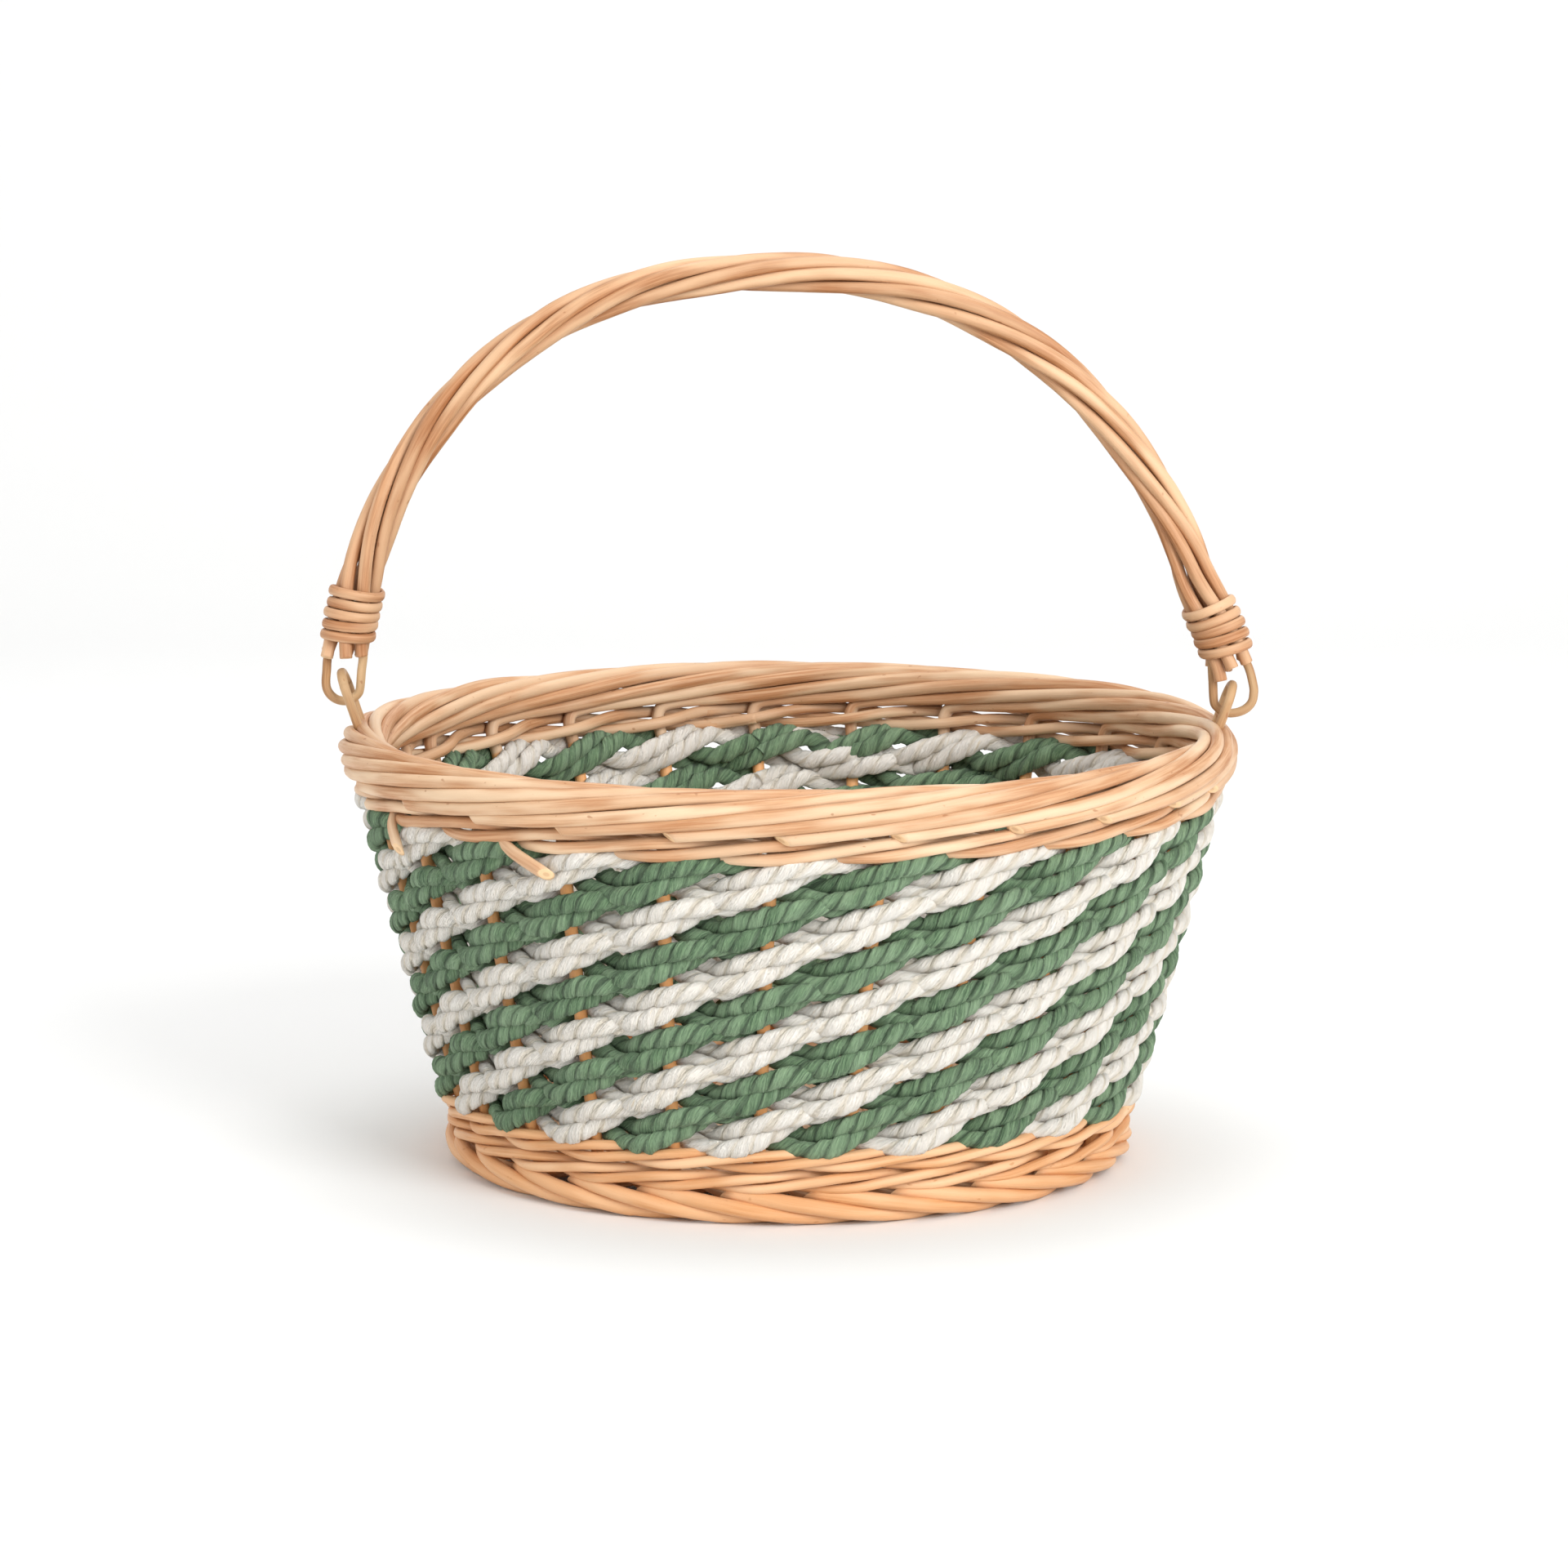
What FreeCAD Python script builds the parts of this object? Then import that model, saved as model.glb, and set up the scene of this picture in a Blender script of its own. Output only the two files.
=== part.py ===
"""Round willow easter basket with a hinged, twisted handle and a wall of paired paper braids.

The basket stands on z = 0 with its axis on Z.  The handle swings about an axis close to +X.
Angles round the wall are counted in stake spacings from the stake nearest the front (-Y),
and they grow counter-clockwise seen from above.  Lengths are millimetres.
"""
import FreeCAD, Part
import math
import os

Vec = FreeCAD.Vector

SIZES = {
    # wall
    "stake_count": 25, "stake_diameter": 4.0, "wall_foot_radius": 102.0, "wall_flare": 0.2625,
    "stake_phase": -5.4, "stake_lean": 0.0265, "stake_start_radius": 98.8, "base_level": 9.0,
    # base
    "base_disc_radius": 98.0, "base_disc_height": 6.6, "stick_diameter": 5.0, "stick_clearance": 0.25,
    "slath_half_width": 22.0, "sticks_each_way": 6, "stick_pitch": 6.2,
    # foot
    "foot_rod_diameter": 4.5,
    # wales
    "wale_rod_diameter": 3.1, "bottom_wale_level": 13.65, "wale_round_height": 7.2,
    "top_wale_rod_diameter": 3.7, "top_wale_level": 122.2, "wale_gap": 0.3,
    # paper braids
    "braid_diameter": 5.8, "braid_rounds": 7, "braid_level": 31.0, "braid_pitch": 13.45,
    "braid_rise": 3.75, "braid_seam": 13.0, "braid_step": 2.5,
    # border
    "border_level": 126.0,
    # links
    "cane_diameter": 2.9, "loop_radius": 5.8, "link_half_span": 143.0, "link_level": 145.5,
    "link_tilt": 0.8, "link_shift": -0.5, "link_length": 7.0, "rim_loop_root": 135.5,
    # handle
    "arch_half_width": 144.5, "arch_height": 160.2, "arch_drop": 20.0, "arch_power": 2.3,
    "arch_pull": 0.052, "arch_sink": 0.066, "arch_round": 25.0,
    "handle_rod_diameter": 4.0, "handle_outer_rods": 6, "handle_lay": 4.27, "handle_lay_end": 5.3,
    "handle_pitch": 190.0, "handle_end": 15.6, "binding_start": 19.8, "binding_cane": 2.4,
    "binding_turns": 5, "binding_pitch": 3.3,
}

doc = FreeCAD.newDocument("easter_basket")
sheet = doc.addObject("Spreadsheet::Sheet", "sizes")
for row, (alias, value) in enumerate(SIZES.items(), start=1):
    sheet.set("A%d" % row, alias)
    sheet.set("B%d" % row, str(value))
    sheet.setAlias("B%d" % row, alias)
doc.recompute()


def size(alias):
    """The value of one cell of the sheet."""
    return float(getattr(sheet, alias))


STAKES = int(size("stake_count"))
SPACING = 360.0 / STAKES
STAKE_R = size("stake_diameter") / 2


# ---- geometry helpers -------------------------------------------------------------------

def tube(points, radius, reach=0.45):
    """A round rod along straight runs joined by tangent arcs.

    Each arc uses up to `reach` of the shorter run beside it.
    """
    edges = []
    start = points[0]
    for i in range(1, len(points) - 1):
        before = points[i] - points[i - 1]
        after = points[i + 1] - points[i]
        cut = reach * min(before.Length, after.Length)
        before.normalize()
        after.normalize()
        turn = before.getAngle(after)
        if turn < 1e-4:
            continue
        arc_start = points[i] - before * cut
        arc_end = points[i] + after * cut
        bisector = after - before
        bisector.normalize()
        middle = points[i] + bisector * (cut * math.tan(turn / 4))
        edges.append(Part.LineSegment(start, arc_start).toShape())
        edges.append(Part.Arc(arc_start, middle, arc_end).toShape())
        start = arc_end
    edges.append(Part.LineSegment(start, points[-1]).toShape())
    path = Part.Wire(edges)
    profile = Part.Wire(Part.Circle(points[0], points[1] - points[0], radius).toShape())
    solid = Part.Wire(path).makePipe(Part.Face(profile))
    expected = math.pi * radius ** 2 * path.Length
    if abs(solid.Volume - expected) > 0.01 * expected:
        raise ValueError("a rod's volume is wrong: %.1f for %.1f" % (solid.Volume, expected))
    return solid


def wall_radius(z):
    """Radius of the stakes' centres at a height."""
    return size("wall_foot_radius") + size("wall_flare") * z


def around(u, radius, z):
    """The point at a place counted in stake spacings, with a true radius."""
    angle = math.radians(size("stake_phase") + size("stake_lean") * z + SPACING * u)
    return Vec(radius * math.sin(angle), -radius * math.cos(angle), z)


def on_wall(u, out, z):
    """The point at a place counted in stake spacings, `out` from the stakes' centres."""
    return around(u, wall_radius(z) + out, z)


def between_midpoints(points):
    """The same line from the middle of its first run to the middle of its last."""
    first = (points[0] + points[1]) * 0.5
    last = (points[-2] + points[-1]) * 0.5
    return [first] + points[1:-1] + [last]


def piece(label, solids):
    """A sub-part of one or more solids."""
    thing = doc.addObject("Part::Feature", label)
    thing.Label = label
    thing.Shape = solids[0] if len(solids) == 1 else Part.makeCompound(solids)
    thing.Placement = FreeCAD.Placement()
    return thing


# ---- base ---------------------------------------------------------------------------------

def base_sticks():
    """The slath: two crossed sets of sticks whose ends fan out to the edge of the base.

    The pierced set runs left to right and the through set passes through its slots.
    """
    count = int(size("sticks_each_way"))
    half = size("slath_half_width")
    end = size("base_disc_radius")
    z = size("base_level")
    pierced = []
    through = []
    for k in range(count):
        side = k - (count - 1) / 2
        offset = side * size("stick_pitch")
        fan = math.radians(side * 180.0 / (2 * count))
        tip_x = end * math.cos(fan)
        tip_y = end * math.sin(fan)
        pierced_points = [Vec(-tip_x, tip_y, z), Vec(-half, offset, z), Vec(half, offset, z), Vec(tip_x, tip_y, z)]
        through_points = [Vec(p.y, p.x, z) for p in pierced_points]
        pierced.append(pierced_points)
        through.append(through_points)
    return pierced, through


def make_base():
    """Sticks, with the through set cut out of the pierced set, and the woven disc round them."""
    stick = size("stick_diameter") / 2
    through_stick = 0.66 * stick
    gap = size("stick_clearance")
    pierced, through = base_sticks()
    through_tubes = [tube(points, through_stick) for points in through]
    slots = Part.makeCompound([tube(points, through_stick + gap) for points in through])
    pierced_tubes = [tube(points, stick).cut(slots) for points in pierced]
    piece("base_sticks_pierced", pierced_tubes)
    piece("base_sticks_through", through_tubes)

    disc = doc.addObject("Part::Cylinder", "base_disc")
    disc.setExpression("Radius", "sizes.base_disc_radius")
    disc.setExpression("Height", "sizes.base_disc_height")
    disc.setExpression("Placement.Base.z", "sizes.base_level - sizes.base_disc_height / 2")
    middle = doc.addObject("Part::Cylinder", "slath_space")
    middle.setExpression("Radius", "sizes.slath_half_width + sizes.stick_diameter / 2")
    middle.setExpression("Height", "sizes.base_disc_height * 2")
    middle.setExpression("Placement.Base.z", "sizes.base_level - sizes.base_disc_height")
    ring = doc.addObject("Part::Cut", "base_ring")
    ring.Base = disc
    ring.Tool = middle
    doc.recompute()
    weave = ring.Shape
    half_reach = 0.9
    for set_of_sticks, radius in ((pierced, stick), (through, through_stick)):
        for points in set_of_sticks:
            middle = (points[1] + points[2]) * 0.5
            for tip, bend in ((points[0], points[1]), (points[3], points[2])):
                beyond = tip + (tip - bend) * 0.03
                weave = weave.cut(tube([beyond, bend, middle], radius + gap, half_reach))
    piece("base_weave", weave.Solids)


# ---- stakes and border --------------------------------------------------------------------

# Where a border rod's centre runs, one row for each stake spacing it travels: radius, height
BORDER_SECTION = [(131.6, 131.0), (131.2, 136.4), (136.2, 138.7), (141.2, 136.3), (142.7, 131.2)]
BORDER_TAIL = 0.35


def make_stakes():
    """Each stake rises from the base, then bends clockwise and rolls over into the border."""
    level = size("border_level")
    stakes = []
    for k in range(STAKES):
        points = [around(k, size("stake_start_radius"), size("base_level"))]
        points.append(on_wall(k, 0, size("base_level")))
        points.append(on_wall(k, 0, 0.5 * level))
        points.append(on_wall(k, 0, level + 1.2))
        points.append(around(k - 0.3, 133.8, 129.4))
        for step, (radius, z) in enumerate(BORDER_SECTION, start=1):
            points.append(around(k - step, radius, z))
        points.append(around(k - step - BORDER_TAIL, 141.9, 129.8))
        stakes.append(tube(points, STAKE_R))
    return piece("stakes", stakes)


# ---- foot ---------------------------------------------------------------------------------

def make_foot():
    """Twenty-five thick rods, blunt at the top end, that slant down and tuck under the base."""
    rod = size("foot_rod_diameter") / 2
    rods = []
    for k in range(STAKES):
        points = [around(k + 0.1, 108.7, 7.5), around(k + 0.55, 109.3, 5.0), around(k + 1.1, 108.4, rod)]
        points += [around(k + 1.6, 103.4, rod), around(k + 2.1, 97.5, rod)]
        rods.append(tube(points, rod, 0.4))
    return piece("foot_border_rods", rods)


# ---- wales --------------------------------------------------------------------------------

def wale_rod(number, level, rod, start):
    """One rod of a three-rod wale for one round: in front of two stakes and behind one."""
    out = STAKE_R + rod + size("wale_gap") / 2
    rise = rod + 2 * size("wale_gap") * rod / 1.85
    places = {
        0: (-out - 1.0, 0.0), 1: (0.0, -rise), 2: (out + 0.8, -rise),
        3: (out + 0.2, 0.0), 4: (out + 0.8, rise), 5: (0.0, rise),
    }
    points = []
    for half_step in range(2 * STAKES + 2):
        side, lift = places[(half_step + 2 * (start - number)) % 6]
        points.append(on_wall(start + half_step / 2, side, level + lift))
    return tube(between_midpoints(points), rod, 0.35)


def make_wales():
    """Two rounds of wale under the braids and one above them."""
    rod = size("wale_rod_diameter") / 2
    for turn in range(2):
        level = size("bottom_wale_level") + turn * size("wale_round_height")
        for number in range(3):
            label = "bottom_wale_%d_rod_%d" % (turn + 1, number + 1)
            piece(label, [wale_rod(number, level, rod, turn + 9)])
    rod = size("top_wale_rod_diameter") / 2
    for number in range(3):
        label = "top_wale_rod_%d" % (number + 1)
        piece(label, [wale_rod(number, size("top_wale_level"), rod, 13)])


# ---- paper braids -------------------------------------------------------------------------

def braid_level(u, row):
    """Height of a row: level, then up one pitch over the last spacings before the seam."""
    step = size("braid_step")
    part = (u - (size("braid_seam") - step)) / step
    part = min(max(part, 0.0), 1.0)
    climb = part * part * (3 - 2 * part)
    return size("braid_level") + size("braid_pitch") * (row + climb)


def braid_round(row, colour):
    """One round of one braid.  The two braids pass each other between every two stakes."""
    rod = size("braid_diameter") / 2
    out = STAKE_R + rod + 1.6
    seam = int(size("braid_seam"))
    last = seam
    if row == int(size("braid_rounds")) - 1:
        last = seam - 3
    points = []
    for half_step in range(2 * (seam - STAKES), 2 * last + 2):
        u = half_step / 2
        z = braid_level(u, row)
        if half_step % 2 == 0:
            odd = (row - half_step // 2) % 2
            side = out if odd == colour else -out
            points.append(on_wall(u, side, z))
        else:
            odd = (row - (half_step - 1) // 2) % 2
            lift = size("braid_rise") if odd == colour else -size("braid_rise")
            points.append(on_wall(u, 0, z + lift))
    return tube(between_midpoints(points), rod, 0.35)


def make_braids():
    """The green braid passes in front where row minus stake is odd, the white one elsewhere."""
    for label, colour in (("green_braid", 1), ("white_braid", 0)):
        rounds = [braid_round(row, colour) for row in range(int(size("braid_rounds")))]
        piece(label, rounds)


# ---- links --------------------------------------------------------------------------------

def eased(share):
    """0 to 1 without a kink at either end."""
    share = min(max(share, 0.0), 1.0)
    return share * share * (3 - 2 * share)


def settled(x, z):
    """The right half of the handle has settled inwards and down a little."""
    if x <= 0:
        return Vec(x, 0, z)
    lean = x * x / (x + size("arch_round"))
    pull = size("arch_pull") * lean * eased((z - 14) / 34)
    sink = size("arch_sink") * lean * eased((z - 30) / 80)
    return Vec(x - pull, 0, z - sink)


def arch_side_at(side, z):
    """Place of the handle's centreline beside a link, at a height above the links."""
    power = size("arch_power")
    share = (z + size("arch_drop")) / size("arch_height")
    x = side * size("arch_half_width") * (1 - share ** power) ** (1 / power)
    return settled(x, z).x


def link_frame():
    """Placement of the handle's own frame: its X axis joins the two links."""
    base = Vec(size("link_shift"), 0, size("link_level"))
    return FreeCAD.Placement(base, FreeCAD.Rotation(Vec(0, 1, 0), size("link_tilt")))


def loop_points(low, length):
    """A half circle of cane, open upwards, in the XZ plane, with its lowest centre at `low`."""
    radius = size("loop_radius")
    points = [Vec(-radius, 0, length)]
    for step in range(-4, 5):
        angle = math.radians(22.5 * step)
        reach = radius / math.cos(math.radians(11.25))
        points.append(Vec(reach * math.sin(angle), 0, radius - reach * math.cos(angle)))
    points.append(Vec(radius, 0, length))
    return [p + low for p in points]


def make_links():
    """Cane loops bound into the handle's ends, hanging in cane loops set in the border."""
    cane = size("cane_diameter") / 2
    frame = link_frame()
    for side, name in ((-1, "left"), (1, "right")):
        centre = Vec(side * size("link_half_span"), 0, 0)
        points = loop_points(centre, 8.0)
        neck = cane + 0.05
        for z in (12.2, 21.0, 28.0):
            middle = arch_side_at(side, z)
            points.insert(0, Vec(middle - neck, 0, z))
            points.append(Vec(middle + neck, 0, z))
        loop = piece("handle_loop_" + name, [tube(points, cane, 0.45)])
        loop.Placement = frame

        pivot = frame.multVec(centre)
        top = pivot.z + size("link_length")
        radius = size("loop_radius")
        root = Vec(side * size("rim_loop_root"), 0, 131.0)
        crown_x = pivot.x + side * 0.6
        reach = radius / math.cos(math.radians(11.25))
        shape = []
        for step in range(-4, 5):
            angle = math.radians(22.5 * step)
            shape.append((reach * math.sin(angle), top - radius + reach * math.cos(angle)))
        shape = [(-radius, root.z)] + shape + [(radius, root.z)]
        slope = (crown_x - root.x) / (top - root.z)
        points = [Vec(root.x + slope * (z - root.z), y, z) for y, z in shape]
        piece("rim_loop_" + name, [tube(points, cane, 0.45)])


# ---- handle -------------------------------------------------------------------------------

def arch(part):
    """A point of the handle's centreline; part runs from 0 at the left end to 1 at the right."""
    power = 2.0 / size("arch_power")
    low = (size("handle_end") + size("arch_drop")) / size("arch_height")
    first = math.asin(low ** (1 / power))
    angle = first + part * (math.pi - 2 * first)
    cosine = math.cos(angle)
    x = -math.copysign(abs(cosine) ** power, cosine) * size("arch_half_width")
    z = math.sin(angle) ** power * size("arch_height") - size("arch_drop")
    return settled(x, z)


def even_arch(count):
    """Evenly spaced points along the handle's centreline."""
    fine = 400
    places = [arch(i / fine) for i in range(fine + 1)]
    travelled = [0.0]
    for i in range(fine):
        travelled.append(travelled[-1] + (places[i + 1] - places[i]).Length)
    total = travelled[-1]
    points = []
    i = 0
    for k in range(count + 1):
        goal = total * k / count
        while i < fine - 1 and travelled[i + 1] < goal:
            i += 1
        share = (goal - travelled[i]) / (travelled[i + 1] - travelled[i])
        points.append(places[i] + (places[i + 1] - places[i]) * share)
    return points, total


def handle_rod_points(phase, lay, lay_end):
    """A strand that winds round the arch at a distance that opens out at the two bindings."""
    count = 24
    centre, total = even_arch(count)
    points = []
    for k in range(count + 1):
        ahead = centre[min(k + 1, count)] - centre[max(k - 1, 0)]
        ahead.normalize()
        normal = Vec(-ahead.z, 0, ahead.x)
        along = total * k / count
        near = min(along, total - along) / 34.0
        wide = lay_end + (lay - lay_end) * min(max(near - 0.6, 0.0), 1.0)
        if lay == 0:
            wide = 0
        turn = phase + 2 * math.pi * along / size("handle_pitch")
        points.append(centre[k] + normal * (wide * math.cos(turn)) + Vec(0, wide * math.sin(turn), 0))
    return points


def make_handle():
    """Six rods twisted round a core rod that stops short of the loops."""
    frame = link_frame()
    rod = size("handle_rod_diameter") / 2
    core_points = handle_rod_points(0, 0, 0)
    core = piece("handle_core_rod", [tube(core_points[2:-2], rod)])
    core.Placement = frame
    for k in range(int(size("handle_outer_rods"))):
        phase = 2 * math.pi * k / size("handle_outer_rods") + 0.52
        points = handle_rod_points(phase, size("handle_lay"), size("handle_lay_end"))
        strand = piece("handle_rod_%d" % (k + 1), [tube(points, rod)])
        strand.Placement = frame

    cane = size("binding_cane") / 2
    steps_a_turn = 12
    coil = (size("handle_lay_end") + rod + cane + 0.3) / math.cos(math.pi / steps_a_turn)
    for side, name in ((-1, "left"), (1, "right")):
        centre, total = even_arch(200)
        if side > 0:
            centre = centre[::-1]
        start = (size("binding_start") - size("handle_end")) / total * 200
        points = []
        steps = int(size("binding_turns")) * steps_a_turn
        rise = size("binding_pitch") / steps_a_turn / total * 200
        for step in range(steps + 1):
            place = start + rise * step
            low = int(place)
            here = centre[low] + (centre[low + 1] - centre[low]) * (place - low)
            ahead = centre[low + 1] - centre[low]
            ahead.normalize()
            normal = Vec(-ahead.z, 0, ahead.x)
            turn = 2 * math.pi / steps_a_turn * step
            points.append(here + normal * (coil * math.cos(turn)) + Vec(0, coil * math.sin(turn), 0))
        binding = piece("handle_binding_" + name, [tube(points, cane)])
        binding.Placement = frame


make_base()
make_stakes()
make_foot()
make_wales()
make_braids()
make_links()
make_handle()
doc.recompute()

HELPERS = ("base_disc", "slath_space", "base_ring")
parts = []
for thing in doc.Objects:
    if "Invalid" in thing.State or "Error" in thing.State:
        raise RuntimeError(thing.Label + " did not compute")
    if thing.TypeId == "Spreadsheet::Sheet" or thing.Label in HELPERS:
        continue
    if thing.Shape.isNull() or not thing.Shape.isValid():
        raise RuntimeError(thing.Label + " has no valid shape")
    parts.append(thing)

os.makedirs("parts", exist_ok=True)
for thing in parts:
    thing.Shape.exportStep("parts/%s.step" % thing.Label)
    box = thing.Shape.BoundBox
    print("%-24s %2d solids %9.1f mm3  z %.1f to %.1f" % (
        thing.Label, len(thing.Shape.Solids), thing.Shape.Volume, box.ZMin, box.ZMax))
print(len(parts), "nodes")
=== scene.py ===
"""Looks of the easter basket: peeled willow rods, cane links and a wall of twisted paper bands.

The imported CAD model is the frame.  Pieces are worked out in millimetres and scaled to metres.
Places round the wall are counted in stake spacings from the stake nearest the front (-Y),
and they grow counter-clockwise seen from above.
"""
import math

import bpy
import numpy as np
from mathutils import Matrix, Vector


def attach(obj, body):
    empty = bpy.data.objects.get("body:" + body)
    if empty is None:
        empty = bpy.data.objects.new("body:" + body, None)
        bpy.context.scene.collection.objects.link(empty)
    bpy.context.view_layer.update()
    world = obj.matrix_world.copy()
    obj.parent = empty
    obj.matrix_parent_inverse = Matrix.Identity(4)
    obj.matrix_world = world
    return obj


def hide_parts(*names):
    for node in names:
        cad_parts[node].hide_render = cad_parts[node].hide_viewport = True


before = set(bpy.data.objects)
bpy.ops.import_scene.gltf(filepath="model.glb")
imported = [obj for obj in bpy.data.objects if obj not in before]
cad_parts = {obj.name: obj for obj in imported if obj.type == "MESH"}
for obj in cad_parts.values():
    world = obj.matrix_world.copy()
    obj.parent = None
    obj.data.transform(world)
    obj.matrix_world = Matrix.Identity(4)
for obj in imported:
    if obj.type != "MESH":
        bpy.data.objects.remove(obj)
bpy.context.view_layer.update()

MM = 0.001

# Wall.  STAKE_PHASE is in degrees, STAKE_LEAN in degrees for each mm of height.
STAKES = 25
SPACING = 360.0 / STAKES
STAKE_RADIUS = 2.0
WALL_FOOT_RADIUS = 102.0
WALL_FLARE = 0.2625
STAKE_PHASE = -5.4
STAKE_LEAN = 0.0265
STAKE_COVERED_TO = 116.0
BASE_LEVEL = 9.0
SIDE_SAG = 1.8
FOOT_ROD_RADIUS = 2.45

# Wales
BOTTOM_WALE_RADIUS = 1.62
BOTTOM_WALE_LEVEL = 13.65
WALE_ROUND_HEIGHT = 7.2
TOP_WALE_RADIUS = 1.9
TOP_WALE_LEVEL = 122.2
WALE_GAP = 0.3

# Paper bands: two cords to a band, two plies to a cord
ROWS = 7
BAND_LEVEL = 31.0
BAND_PITCH = 13.6
BAND_RISE = 4.7
BAND_REACH = 4.05
BAND_TAIL_DROP = 4.5
SEAM = 13.0
SEAM_STEP = 2.5
CORD_OFFSET = 2.6
CORD_TURN = 1.1
PLY_OFFSET = 1.08
PLY_RADIUS = 2.26
PLY_FLATNESS = 0.72

# Base
SLATH_STICKS = 6
SLATH_PITCH = 6.2
SLATH_HALF_LENGTH = 97.5
SLATH_STRAIGHT = 22.0
SLATH_FAN = 15.0
WEAVER_START = 26.5
WEAVER_END = 97.0
WEAVER_PITCH = 4.1
WEAVER_RADIUS = 1.5
WEAVER_SWING = 3.6
SPOKES = 24

# Handle and links
LINK_SHIFT = -0.5
LINK_LEVEL = 145.5
LINK_TILT = math.radians(0.8)
LINK_HALF_SPAN = 143.0
LINK_LENGTH = 9.2
LOOP_RADIUS = 5.8
CANE_RADIUS = 1.45
RIM_LOOP_ROOT = 135.5
ARCH_HALF_WIDTH = 144.5
ARCH_HEIGHT = 160.2
ARCH_DROP = 20.0
ARCH_POWER = 2.3
ARCH_PULL = 0.052
ARCH_SINK = 0.066
ARCH_ROUND = 25.0
HANDLE_ROD_RADIUS = 2.0
HANDLE_LAY = 4.27
HANDLE_LAY_END = 5.3
HANDLE_PITCH = 190.0
HANDLE_END = 15.6
ROD_SPARE = 10.0
LONG_ROD = 3
LONG_ROD_SPARE = 3.6
BINDING_START = 4.9
BINDING_TURNS = 5
BINDING_PITCH = 3.45
BINDING_RADIUS = 1.6


# ---- lines --------------------------------------------------------------------------------

def unit(vectors):
    """The same vectors at length one."""
    return vectors / np.maximum(np.linalg.norm(vectors, axis=-1, keepdims=True), 1e-9)


def smooth(points, per=12):
    """A smooth line through the points, with `per` samples for each of its intervals."""
    p = np.asarray(points, float)
    p = np.vstack([2 * p[0] - p[1], p, 2 * p[-1] - p[-2]])
    t = (np.arange(per) / per)[:, None]
    rows = []
    for i in range(1, len(p) - 2):
        a, b, c, d = p[i - 1:i + 3]
        rows.append(0.5 * (2 * b + (c - a) * t + (2 * a - 5 * b + 4 * c - d) * t ** 2
                           + (3 * b - a - 3 * c + d) * t ** 3))
    rows.append(p[-2][None])
    return np.vstack(rows)


def lengths(path):
    """Distance travelled at each point of a line."""
    return np.concatenate([[0.0], np.cumsum(np.linalg.norm(np.diff(path, axis=0), axis=1))])


def even(path, step):
    """The same line with evenly spaced points."""
    along = lengths(path)
    count = max(int(along[-1] / step), 4)
    goal = np.linspace(0, along[-1], count + 1)
    return np.column_stack([np.interp(goal, along, path[:, i]) for i in range(path.shape[1])])


def wander(along, length, dice):
    """A smooth random value of about -1 to 1 that changes over `length`."""
    total = np.zeros_like(along, dtype=float)
    for octave in (1.0, 1.83, 3.1):
        phase = dice.uniform(0, 2 * math.pi)
        total += np.sin(2 * math.pi * along * octave / length + phase) / octave
    return total / 1.87


def eased(part):
    """0 to 1 without a kink at either end."""
    part = np.clip(part, 0, 1)
    return part * part * (3 - 2 * part)


def wall_radius(z):
    """Radius of the stakes' centres at a height."""
    return WALL_FOOT_RADIUS + WALL_FLARE * z


def around(u, radius, z):
    """Points at places counted in stake spacings, with true radii."""
    u, radius, z = np.broadcast_arrays(np.asarray(u, float), radius, z)
    angle = np.radians(STAKE_PHASE + STAKE_LEAN * z + SPACING * u)
    return np.stack([radius * np.sin(angle), -radius * np.cos(angle), z], axis=-1)


def on_wall(u, out, z):
    """Points at places counted in stake spacings, `out` from the stakes' centres."""
    return around(u, wall_radius(np.asarray(z, float)) + out, z)


def outward(path):
    """The wall's outward normal beside each point."""
    flat = unit(path * np.array([1.0, 1.0, 0.0]))
    return unit(flat - np.array([0.0, 0.0, WALL_FLARE]))


def carried(path, first):
    """A side direction carried along the line without twisting, starting near `first`."""
    ahead = unit(np.gradient(path, axis=0))
    side = np.empty_like(path)
    now = np.asarray(first, float)
    for i, direction in enumerate(ahead):
        now = now - direction * now.dot(direction)
        now = now / max(np.linalg.norm(now), 1e-9)
        side[i] = now
    return side


def settled(points):
    """The wall's foot sags a little at the two sides, and more at the right one."""
    radius = np.maximum(np.hypot(points[:, 0], points[:, 1]), 1e-6)
    sideways = points[:, 0] / radius
    beside = sideways ** 2 * (1 + 0.3 * sideways) * np.clip(radius / 60 - 0.6, 0, 1)
    z = points[:, 2]
    share = np.clip((z - 2.5) / 9.5, 0, 1) * (1 - np.clip((z - 24) / 92, 0, 1))
    moved = points.copy()
    moved[:, 2] -= SIDE_SAG * beside * share
    return moved


# ---- meshes -------------------------------------------------------------------------------

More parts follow.
